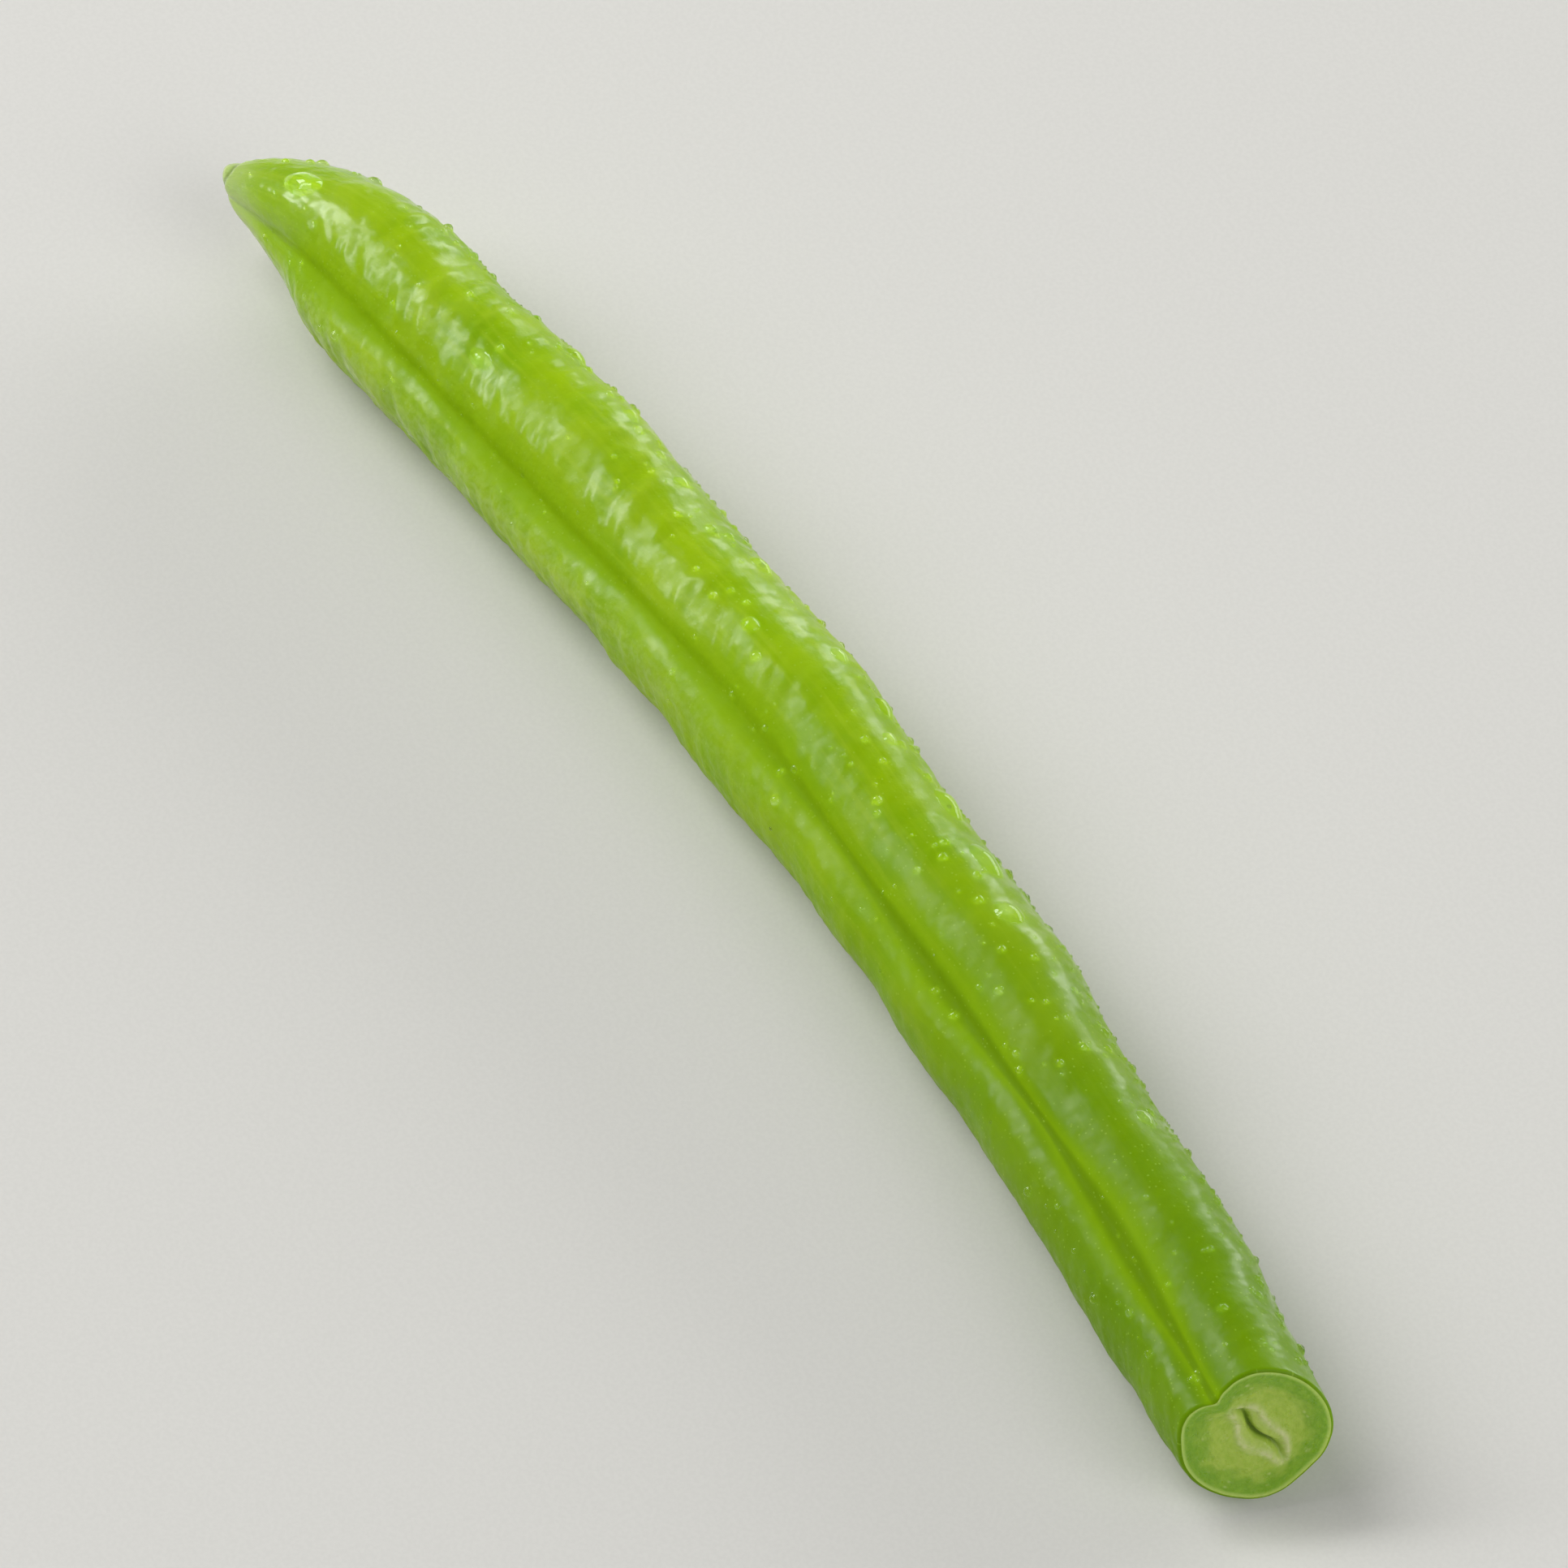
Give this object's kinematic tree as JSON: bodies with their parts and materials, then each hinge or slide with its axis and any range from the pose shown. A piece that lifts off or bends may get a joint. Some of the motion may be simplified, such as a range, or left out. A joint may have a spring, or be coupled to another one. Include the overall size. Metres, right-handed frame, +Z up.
{
  "type": "green bean",
  "caption": "Slender bowed green bean pod with two lobes along a soft seam groove, a blunt beak and a slanted trimmed stem end.",
  "frame": {"origin": "on the surface the pod lies on, under the middle of its box", "axes": "+X along the pod from the beak to the trimmed stem end, +Y towards the outside of the bow, +Z up"},
  "size_m": [0.1002, 0.0122, 0.009],
  "materials": {
    "bean_skin": "moist waxy green plant skin"
  },
  "bodies": {
    "root": {"bean_pod": "bean_skin"}
  },
  "joints": []
}
